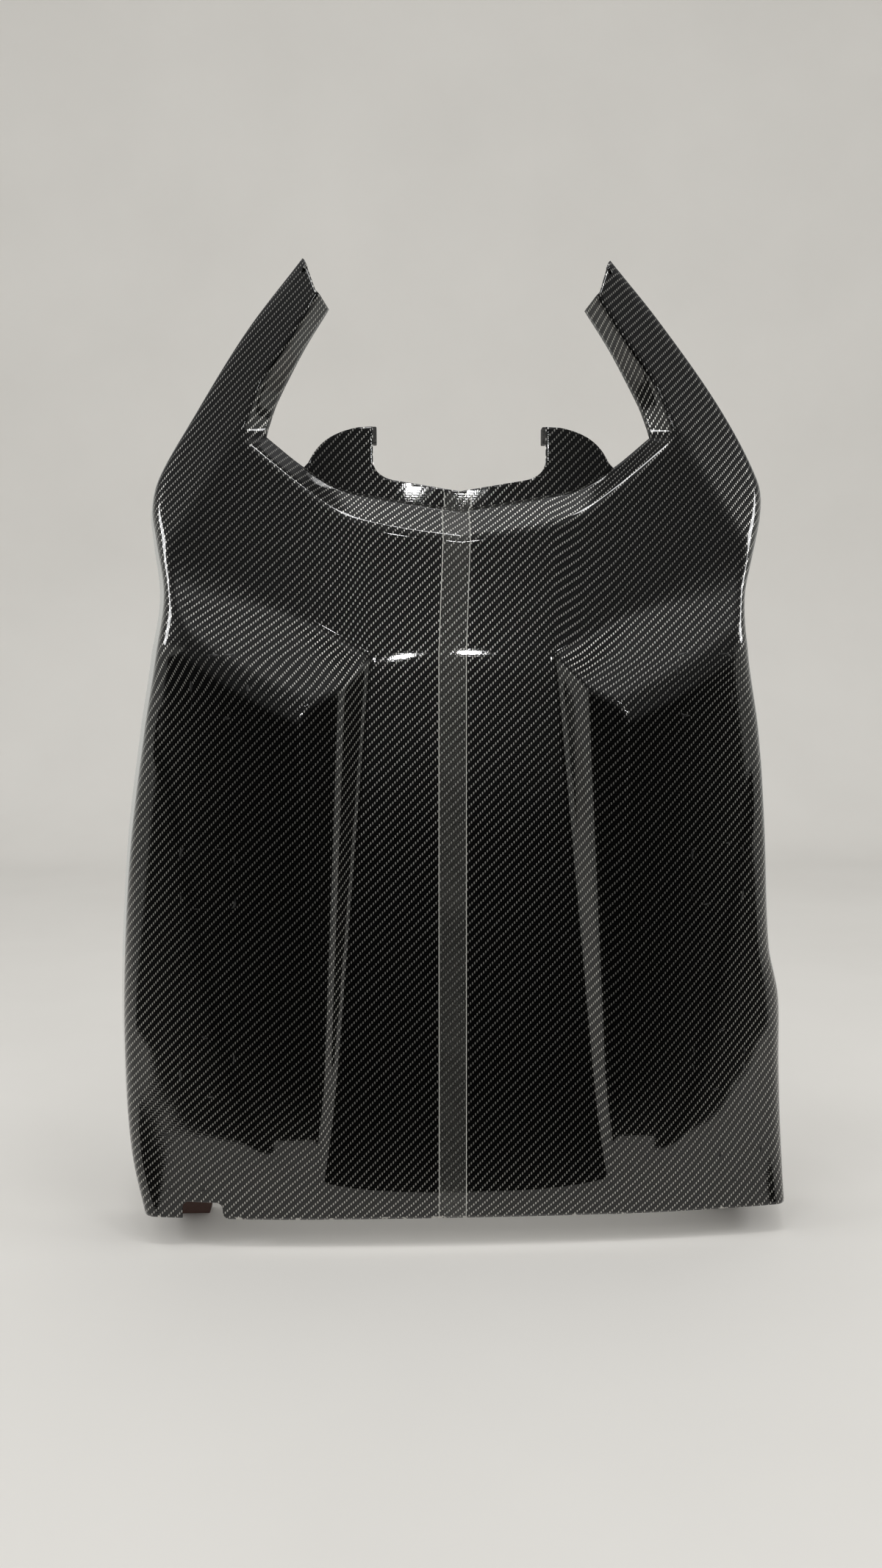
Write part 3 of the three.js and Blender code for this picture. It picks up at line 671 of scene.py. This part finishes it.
class Nodes:
    """Short names for making and joining the shader nodes of a material or a world."""

    def __init__(self, owner, output):
        owner.use_nodes = True
        self.tree = owner.node_tree
        self.tree.nodes.clear()
        self.output = self.new(output)

    def new(self, kind, **settings):
        node = self.tree.nodes.new(kind)
        for key, value in settings.items():
            setattr(node, key, value)
        return node

    def put(self, socket, value):
        if isinstance(value, bpy.types.NodeSocket):
            self.tree.links.new(value, socket)
        else:
            socket.default_value = value

    def math(self, operation, *values):
        node = self.new("ShaderNodeMath", operation=operation)
        for socket, value in zip(node.inputs, values):
            self.put(socket, value)
        return node.outputs[0]

    def mix(self, factor, a, b):
        node = self.new("ShaderNodeMix", data_type="RGBA")
        self.put(node.inputs["Factor"], factor)
        self.put(node.inputs[6], a)
        self.put(node.inputs[7], b)
        return node.outputs[2]

    def noise(self, vector, scale, detail=2.0, roughness=0.5):
        node = self.new("ShaderNodeTexNoise")
        self.put(node.inputs["Vector"], vector)
        self.put(node.inputs["Scale"], scale)
        self.put(node.inputs["Detail"], detail)
        self.put(node.inputs["Roughness"], roughness)
        return node.outputs["Fac"]

    def ramp(self, factor, low, high):
        """Zero below low, one above high, smooth between."""
        node = self.new("ShaderNodeMapRange", interpolation_type="SMOOTHSTEP")
        self.put(node.inputs["Value"], factor)
        self.put(node.inputs["From Min"], low)
        self.put(node.inputs["From Max"], high)
        return node.outputs["Result"]

    def between(self, factor, low, high):
        """A zero-to-one value stretched to run from low to high."""
        node = self.new("ShaderNodeMapRange")
        self.put(node.inputs["Value"], factor)
        self.put(node.inputs["To Min"], low)
        self.put(node.inputs["To Max"], high)
        return node.outputs["Result"]

    def bump(self, height, distance, strength=1.0, normal=None):
        node = self.new("ShaderNodeBump")
        self.put(node.inputs["Height"], height)
        self.put(node.inputs["Distance"], distance * MM)
        self.put(node.inputs["Strength"], strength)
        if normal is not None:
            self.put(node.inputs["Normal"], normal)
        return node.outputs["Normal"]

    def principled(self, **inputs):
        shader = self.new("ShaderNodeBsdfPrincipled")
        for key, value in inputs.items():
            self.put(shader.inputs[key.replace("_", " ")], value)
        self.tree.links.new(shader.outputs[0], self.output.inputs[0])
        return shader

    def place(self):
        return self.new("ShaderNodeTexCoord").outputs["Object"]


class MaterialNodes(Nodes):
    def __init__(self, name):
        self.material = bpy.data.materials.new(name)
        super().__init__(self.material, "ShaderNodeOutputMaterial")


def draped_cloth(nodes):
    return nodes.new("ShaderNodeUVMap", uv_map="weave").outputs["UV"]


def flat_cloth(nodes):
    """Cloth coordinates for a piece that has none of its own: seen straight from the front."""
    split = nodes.new("ShaderNodeSeparateXYZ")
    nodes.put(split.inputs[0], nodes.place())
    joined = nodes.new("ShaderNodeCombineXYZ")
    nodes.put(joined.inputs["X"], split.outputs["X"])
    nodes.put(joined.inputs["Y"], split.outputs["Z"])
    return joined.outputs[0]


def twill(nodes, cloth):
    """Two-by-two twill from cloth coordinates: (mask of tows that run upwards, height,
    streaks along each tow)."""
    split = nodes.new("ShaderNodeSeparateXYZ")
    nodes.put(split.inputs[0], cloth)
    u = nodes.math("DIVIDE", split.outputs["X"], TOW * MM)
    v = nodes.math("DIVIDE", split.outputs["Y"], TOW * MM)
    column, row = nodes.math("FLOOR", u), nodes.math("FLOOR", v)
    phase = nodes.math("FLOORED_MODULO", nodes.math("SUBTRACT", column, row), REPEAT)
    upright = nodes.math("LESS_THAN", phase, REPEAT / 2 - 0.5)

    def float_height(across, along, index, shift):
        offset = nodes.math("SUBTRACT", along, nodes.math("ADD", index, shift))
        run = nodes.math("FLOORED_MODULO", offset, REPEAT)
        arch = nodes.math("SINE", nodes.math("MULTIPLY", run, math.pi / 2))
        place = nodes.math("FRACT", across)
        side = nodes.math("SINE", nodes.math("MULTIPLY", place, math.pi))
        return nodes.math("MULTIPLY", nodes.math("POWER", side, 0.6),
                          nodes.math("POWER", nodes.math("MAXIMUM", arch, 0.001), 0.5))

    up_height = float_height(u, v, column, -1)
    cross_height = float_height(v, u, row, 2)
    height = nodes.new("ShaderNodeMix", data_type="FLOAT")
    nodes.put(height.inputs["Factor"], upright)
    nodes.put(height.inputs[2], cross_height)
    nodes.put(height.inputs[3], up_height)

    streaks = []
    for stretch in ((14.0, 0.5, 1.0), (0.5, 14.0, 1.0)):
        scaled = nodes.new("ShaderNodeVectorMath", operation="MULTIPLY")
        nodes.put(scaled.inputs[0], cloth)
        nodes.put(scaled.inputs[1], tuple(s / MM / 2 for s in stretch))
        streaks.append(nodes.noise(scaled.outputs[0], 1.0, 2.0))
    streak = nodes.new("ShaderNodeMix", data_type="FLOAT")
    nodes.put(streak.inputs["Factor"], upright)
    nodes.put(streak.inputs[2], streaks[1])
    nodes.put(streak.inputs[3], streaks[0])
    return upright, height.outputs[0], streak.outputs[0]


def edge_chips(nodes):
    """Mask of the small chips along the shell's lower edge."""
    place = nodes.place()
    split = nodes.new("ShaderNodeSeparateXYZ")
    nodes.put(split.inputs[0], place)
    above = nodes.ramp(split.outputs["Z"], LIFT + 0.6 * MM, LIFT + 2.6 * MM)
    spots = nodes.ramp(nodes.noise(place, 110.0, 3.0), 0.6, 0.64)
    return nodes.math("MULTIPLY", nodes.math("SUBTRACT", 1.0, above), spots)


def carbon_material():
    """Black tows seen through a thick clear coat that has a faint ripple of its own. Their colour
    carries painted sheen: the crowns of the upright tows are pale, and the cross tows stay near black as
    painted shade.
    """
    nodes = MaterialNodes("carbon_coated")
    upright, height, streak = twill(nodes, draped_cloth(nodes))
    # Painted sheen: each float is paler on its crown than on its flanks, and the upright tows far paler
    # than the cross tows, standing in for how the fibres catch the light.
    crown_sheen_mask = nodes.ramp(height, 0.6, 1.0)
    pale = nodes.mix(crown_sheen_mask, (0.002, 0.002, 0.002, 1), (0.62, 0.61, 0.57, 1))
    dark = nodes.mix(crown_sheen_mask, (0.002, 0.002, 0.002, 1), (0.012, 0.012, 0.012, 1))
    tow = nodes.mix(upright, dark, pale)
    colour = nodes.mix(nodes.between(streak, -0.1, 0.45), tow, (0.005, 0.005, 0.005, 1))
    colour = nodes.mix(edge_chips(nodes), colour, (0.6, 0.59, 0.55, 1))
    tangent = nodes.new("ShaderNodeTangent", direction_type="UV_MAP", uv_map="weave")
    ripple = nodes.noise(nodes.place(), 55.0, 2.0)
    nodes.principled(
        Base_Color=colour, Metallic=0.93, Roughness=0.33, Anisotropic=0.5,
        Anisotropic_Rotation=nodes.between(upright, 0.0, 0.25),
        Tangent=tangent.outputs[0], Normal=nodes.bump(height, 0.10),
        Coat_Weight=1.0, Coat_Roughness=0.03, Coat_IOR=1.5,
        Coat_Normal=nodes.bump(ripple, 0.02, 0.5, nodes.bump(height, 0.004)),
    )
    return nodes.material


def carbon_inside_material():
    """The bag side of the laminate: the same weave with no clear coat, its hollows painted darker than
    the crowns of the floats as painted shade, and blotches where resin leaves it glossier.
    """
    nodes = MaterialNodes("carbon_bare")
    upright, height, streak = twill(nodes, draped_cloth(nodes))
    # Painted shade: the colour darkens down into the hollows between floats and is palest on their
    # crowns.
    tow = nodes.mix(height, (0.008, 0.008, 0.009, 1), (0.07, 0.07, 0.072, 1))
    blotch = nodes.ramp(nodes.noise(nodes.place(), 16.0, 4.0), 0.45, 0.7)
    tangent = nodes.new("ShaderNodeTangent", direction_type="UV_MAP", uv_map="weave")
    nodes.principled(
        Base_Color=nodes.mix(nodes.between(streak, 0.0, 0.6), tow, (0.015, 0.015, 0.016, 1)),
        Metallic=0.3, Roughness=nodes.between(blotch, 0.5, 0.3),
        Anisotropic=0.5, Anisotropic_Rotation=nodes.between(upright, 0.0, 0.25),
        Tangent=tangent.outputs[0], Normal=nodes.bump(height, 0.25),
    )
    return nodes.material


def doubler_material():
    """Bare carbon strip, its two tow directions told apart by painted sheen: the upright tows are
    painted paler than the cross tows, and each float is painted darker towards its edges as painted
    shade.
    """
    nodes = MaterialNodes("carbon_strip")
    upright, height, streak = twill(nodes, flat_cloth(nodes))
    # Painted sheen: upright tows paler than cross tows. Painted shade: darker down in the hollows
    # between floats.
    pale = nodes.mix(upright, (0.03, 0.03, 0.031, 1), (0.11, 0.11, 0.112, 1))
    tow = nodes.mix(height, (0.008, 0.008, 0.009, 1), pale)
    nodes.principled(
        Base_Color=nodes.mix(nodes.between(streak, 0.0, 0.5), tow, (0.02, 0.02, 0.021, 1)),
        Metallic=0.2, Roughness=0.45, Normal=nodes.bump(height, 0.2),
    )
    return nodes.material


def laminate_edge_material():
    """A trimmed edge: thin plies, dull and slightly brown where the resin is sanded."""
    nodes = MaterialNodes("laminate_edge")
    fine = nodes.noise(nodes.place(), 900.0, 3.0)
    chips = nodes.ramp(nodes.noise(nodes.place(), 130.0, 2.0), 0.66, 0.72)
    ply = nodes.mix(nodes.ramp(fine, 0.35, 0.65), (0.012, 0.012, 0.012, 1), (0.05, 0.048, 0.044, 1))
    nodes.principled(
        Base_Color=nodes.mix(chips, ply, (0.25, 0.24, 0.22, 1)),
        Roughness=nodes.between(fine, 0.5, 0.75), Normal=nodes.bump(fine, 0.15),
    )
    return nodes.material


def film_material():
    """Clear film, slightly milky, with paler edges."""
    nodes = MaterialNodes("clear_film")
    split = nodes.new("ShaderNodeSeparateXYZ")
    nodes.put(split.inputs[0], draped_cloth(nodes))
    reach = nodes.math("ABSOLUTE", split.outputs["X"])
    edge = nodes.ramp(reach, (TAPE_WIDTH / 2 - 0.8) * MM, (TAPE_WIDTH / 2 - 0.5) * MM)
    haze = nodes.noise(nodes.place(), 18.0, 3.0)
    alpha = nodes.math("MAXIMUM", nodes.math("MULTIPLY", edge, 0.5), nodes.between(haze, 0.02, 0.06))
    nodes.principled(
        Base_Color=nodes.mix(edge, (0.3, 0.3, 0.28, 1), (0.7, 0.7, 0.66, 1)),
        Roughness=0.4, Alpha=alpha,
    )
    return nodes.material


def moulded_material(name, dark, light, roughness):
    """Moulded or machined plastic with a fine grain and handling marks."""
    nodes = MaterialNodes(name)
    grain = nodes.noise(nodes.place(), 700.0, 3.0)
    marks = nodes.noise(nodes.place(), 25.0, 4.0)
    nodes.principled(
        Base_Color=nodes.mix(marks, dark, light),
        Roughness=nodes.between(marks, roughness - 0.08, roughness + 0.12),
        Normal=nodes.bump(grain, 0.06),
    )
    return nodes.material


def phenolic_material():
    """Brown paper laminate: thin layers stacked front to back."""
    nodes = MaterialNodes("phenolic_board")
    place = nodes.place()
    layers = nodes.new("ShaderNodeTexWave", wave_type="BANDS", bands_direction="Y")
    nodes.put(layers.inputs["Vector"], place)
    nodes.put(layers.inputs["Scale"], 260.0)
    nodes.put(layers.inputs["Distortion"], 1.5)
    grain = nodes.noise(place, 300.0, 4.0)
    layered = nodes.mix(layers.outputs["Fac"], (0.045, 0.02, 0.015, 1), (0.085, 0.04, 0.03, 1))
    nodes.principled(
        Base_Color=nodes.mix(grain, layered, (0.06, 0.03, 0.022, 1)),
        Roughness=nodes.between(grain, 0.5, 0.75), Normal=nodes.bump(grain, 0.1),
    )
    return nodes.material


def steel_material():
    nodes = MaterialNodes("plated_steel")
    rolled = nodes.new("ShaderNodeVectorMath", operation="MULTIPLY")
    nodes.put(rolled.inputs[0], nodes.place())
    nodes.put(rolled.inputs[1], (40.0, 900.0, 900.0))
    lines = nodes.noise(rolled.outputs[0], 1.0, 2.0)
    nodes.principled(
        Base_Color=nodes.mix(lines, (0.5, 0.5, 0.5, 1), (0.7, 0.7, 0.68, 1)),
        Metallic=1.0, Roughness=nodes.between(lines, 0.25, 0.45), Normal=nodes.bump(lines, 0.02),
    )
    return nodes.material


def felt_material():
    nodes = MaterialNodes("needled_felt")
    fibres = nodes.noise(nodes.place(), 900.0, 6.0, 0.7)
    tufts = nodes.noise(nodes.place(), 90.0, 3.0)
    dark = nodes.mix(fibres, (0.012, 0.012, 0.013, 1), (0.07, 0.07, 0.074, 1))
    nodes.principled(
        Base_Color=nodes.mix(tufts, dark, (0.03, 0.03, 0.032, 1)), Roughness=0.95,
        Sheen_Weight=0.4, Normal=nodes.bump(fibres, 0.5),
    )
    return nodes.material


def floor_material():
    nodes = MaterialNodes("studio_floor")
    cloud = nodes.noise(nodes.place(), 3.0, 5.0)
    nodes.principled(
        Base_Color=nodes.mix(cloud, (0.64, 0.63, 0.61, 1), (0.70, 0.69, 0.67, 1)), Roughness=0.8,
    )
    return nodes.material


# ---------------------------------------------------------------- put together
CARBON = carbon_material()
INSIDE = carbon_inside_material()
EDGE = laminate_edge_material()


def dress(obj, materials):
    obj.data.materials.clear()
    for material in materials:
        obj.data.materials.append(material)


def stand_in(obj, node, materials):
    """A finer piece that is shown in place of a CAD node."""
    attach(obj, "root")
    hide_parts(node)
    dress(obj, materials)


stand_in(build_shell(), "outer_shell", [CARBON, INSIDE, EDGE])
stand_in(build_flange(), "neck_flange", [CARBON, INSIDE, EDGE])
for side in (-1, 1):
    stand_in(build_hook(side), "neck_flange", [EDGE])
stand_in(build_film(), "protective_tape", [film_material()])

adhesive = moulded_material("adhesive", (0.01, 0.01, 0.01, 1), (0.02, 0.02, 0.02, 1), 0.3)
for side, label in ((-1, "left"), (1, "right")):
    feet = [(x, z, *TOWER_FOOT.values()) for x, z in TOWER_PLACES]
    feet.append(tuple(BRACKET_FOOT.values()))
    for number, (x, z, half, half_height) in enumerate(feet, 1):
        bead = build_bead(f"glue_bead_{label}_{number}", side * x, z, half, half_height)
        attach(bead, "root")
        dress(bead, [adhesive])

NYLON = ((0.012, 0.012, 0.012, 1), (0.03, 0.03, 0.03, 1))
STEEL = steel_material()
FELT = felt_material()

# For CAD nodes whose names start so: material, slot and the width of their rounded edges.
NODE_LOOKS = {
    "clip_tower": (moulded_material("black_nylon", *NYLON, 0.45), "nylon", 1.2),
    "horn_block": (moulded_material("black_nylon_block", *NYLON, 0.5), "nylon", 1.0),
    "spring_clip": (STEEL, "steel", 0.15),
    "captive_nut": (STEEL, "steel", 0.3),
    "lower_bracket": (phenolic_material(), "phenolic", 0.8),
    "edge_felt": (FELT, "felt", 0.8),
    "hook_pad": (FELT, "felt", 0.8),
    "lower_doubler": (doubler_material(), "carbon", 0.3),
}

for name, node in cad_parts.items():
    for start, (material, slot, width) in NODE_LOOKS.items():
        if name.startswith(start):
            dress(node, [material])
            soften(node, width)


# ---------------------------------------------------------------- studio, in metres
FLOOR_HALF = 16.0
SWEEP = {"start": 2.2, "radius": 1.0, "top": 4.5, "steps": 16}
SHEET_BACK = 1.2
# Only the floor behind this line of (x, y) points shows in reflections.
SHEET_FRONT = [(-FLOOR_HALF, -1.2), (-0.6, -0.25), (-0.3, -0.16), (0.3, -0.15), (0.6, -0.25),
               (FLOOR_HALF, -1.2)]


def add_strip(name, rows, material, mirrored):
    """A sheet through rows of points, from the front row to the back one."""
    grid = np.array(rows, float)
    mesh = bpy.data.meshes.new(name)
    mesh.from_pydata(grid.reshape(-1, 3).tolist(), [], grid_faces(*grid.shape[:2]).tolist())
    mesh.shade_smooth()
    mesh.materials.append(material)
    strip = add_object(name, mesh)
    strip.visible_glossy = mirrored


def add_floor():
    """A pale floor that sweeps up into a backdrop well behind the part."""
    def across(y, z=0):
        return [(x, y, z) for x, _ in SHEET_FRONT]

    start, radius = SWEEP["start"], SWEEP["radius"]
    turn = np.radians(np.linspace(0, 90, SWEEP["steps"] + 1))
    swept = [across(start + radius * math.sin(a), radius * (1 - math.cos(a))) for a in turn]
    front = [(x, y, 0) for x, y in SHEET_FRONT]
    material = floor_material()
    add_strip("floor_ahead", [across(-FLOOR_HALF), front], material, False)
    add_strip("floor_sheet", [front, across(SHEET_BACK)], material, True)
    add_strip("backdrop", [across(SHEET_BACK), *swept, across(start + radius, SWEEP["top"])],
              material, False)


# How bright the room is in reflections at each height above the horizon, in degrees.
ROOM_LEVELS = [(0, 0.01), (8, 0.1), (20, 0.14), (34, 0.14), (47, 0.2), (58, 0.45), (61, 0.4),
               (66, 0.05), (74, 0.1), (80, 0.8)]
WALL_EDGE = {"turn": (52, 53), "lean": 0.7}  # degrees from straight ahead, and with height
WALL_FADE = (12, 28)  # degrees above the horizon
WALL_TONE = (0.6, 0.6, 0.57, 1)
BACKDROP_TONE = (0.61, 0.595, 0.56, 1)
FILL = {"tone": (1, 0.985, 0.95, 1), "strength": 0.88}


def mirrored_room(nodes):
    """A dark room with a lit ceiling and pale walls at the sides."""
    way = nodes.new("ShaderNodeSeparateXYZ")
    nodes.put(way.inputs[0], nodes.new("ShaderNodeTexCoord").outputs["Generated"])
    height = nodes.math("ARCSINE", way.outputs["Z"])
    turn = nodes.math("ARCTAN2", nodes.math("ABSOLUTE", way.outputs["X"]),
                      nodes.math("MULTIPLY", way.outputs["Y"], -1.0))
    edge = nodes.math("SUBTRACT", turn, nodes.math("MULTIPLY", height, -WALL_EDGE["lean"]))
    side = nodes.ramp(edge, *map(math.radians, WALL_EDGE["turn"]))
    low = nodes.math("SUBTRACT", 1.0, nodes.ramp(height, *map(math.radians, WALL_FADE)))
    room = nodes.new("ShaderNodeValToRGB")
    nodes.put(room.inputs[0], nodes.between(nodes.math("SINE", height), 0.0, 1.0))
    stops = room.color_ramp.elements
    for angle, _ in ROOM_LEVELS[2:]:
        stops.new(math.sin(math.radians(angle)))
    for stop, (angle, level) in zip(stops, ROOM_LEVELS):
        stop.position = math.sin(math.radians(angle))
        stop.color = (level, level, level, 1)
    return nodes.mix(nodes.math("MULTIPLY", side, low), room.outputs[0], WALL_TONE)


def add_world():
    """A soft fill, with a plain backdrop for the camera and a room of its own for reflections."""
    world = bpy.data.worlds.new("studio")
    bpy.context.scene.world = world
    nodes = Nodes(world, "ShaderNodeOutputWorld")
    mirrored = mirrored_room(nodes)
    path = nodes.new("ShaderNodeLightPath")
    fill, room, backdrop = (nodes.new("ShaderNodeBackground") for _ in range(3))
    nodes.put(fill.inputs["Color"], FILL["tone"])
    nodes.put(fill.inputs["Strength"], FILL["strength"])
    nodes.put(room.inputs["Color"], mirrored)
    nodes.put(backdrop.inputs["Color"], BACKDROP_TONE)
    glossy, seen = (nodes.new("ShaderNodeMixShader") for _ in range(2))
    nodes.put(glossy.inputs[0], path.outputs["Is Glossy Ray"])
    nodes.put(glossy.inputs[1], fill.outputs[0])
    nodes.put(glossy.inputs[2], room.outputs[0])
    nodes.put(seen.inputs[0], path.outputs["Is Camera Ray"])
    nodes.put(seen.inputs[1], glossy.outputs[0])
    nodes.put(seen.inputs[2], backdrop.outputs[0])
    nodes.put(nodes.output.inputs[0], seen.outputs[0])


CAMERA = {"place": (-0.0572, -1.04, 0.4853), "lens": 27.85, "sensor": 36, "clip": 0.01}
CAMERA_TURNS = [(-1.98, "Z"), (85, "X"), (-0.25, "Z")]


def add_camera():
    """A metre in front of the part and half a metre up, looking slightly down."""
    data = bpy.data.cameras.new("camera")
    data.sensor_width = CAMERA["sensor"]
    data.lens = CAMERA["lens"]
    data.clip_start = CAMERA["clip"]
    camera = add_object("camera", data)
    turn = [Matrix.Rotation(math.radians(a), 3, axis) for a, axis in CAMERA_TURNS]
    x, y, z = CAMERA["place"]
    place = Matrix.Translation((x, y, z + LIFT))
    camera.matrix_world = place @ (turn[0] @ turn[1] @ turn[2]).to_4x4()
    bpy.context.scene.camera = camera


# Pairs of lamps: their two x, then name, y, z, the height they aim at, size and watts.
LAMP_PAIRS = [
    ((-0.25, 0.30), [("ceiling", -0.40, 2.5, 0.4, (0.3, 0.3), 3.8)]),
    ((-0.09, 0.17), [("lamp_low", -2.6, 1.22, 0.6, (0.07, 0.05), 1.9),
                     ("lamp_high", -2.6, 2.3, 0.6, (0.07, 0.07), 1.0)]),
    ((-2.37, 2.37), [("lamp_side", -0.37, 1.67, 0.6, (0.6, 0.6), 14)]),
]


def softbox(name, place, target, size, power):
    light = bpy.data.lights.new(name, "AREA")
    light.shape = "RECTANGLE"
    light.size, light.size_y = size
    light.energy = power
    obj = add_object(name, light)
    obj.location = place
    aim = Vector(target) - Vector(place)
    obj.rotation_euler = aim.to_track_quat("-Z", "Y").to_euler()
    obj.visible_camera = False


def add_lamps():
    for places, lamps in LAMP_PAIRS:
        for x in places:
            for name, y, z, aim_z, size, power in lamps:
                softbox(f"{name}_{x}", (x, y, z), (0, 0, aim_z), size, power)


add_floor()
add_world()
add_camera()
add_lamps()
bpy.context.scene.view_settings.view_transform = "Standard"
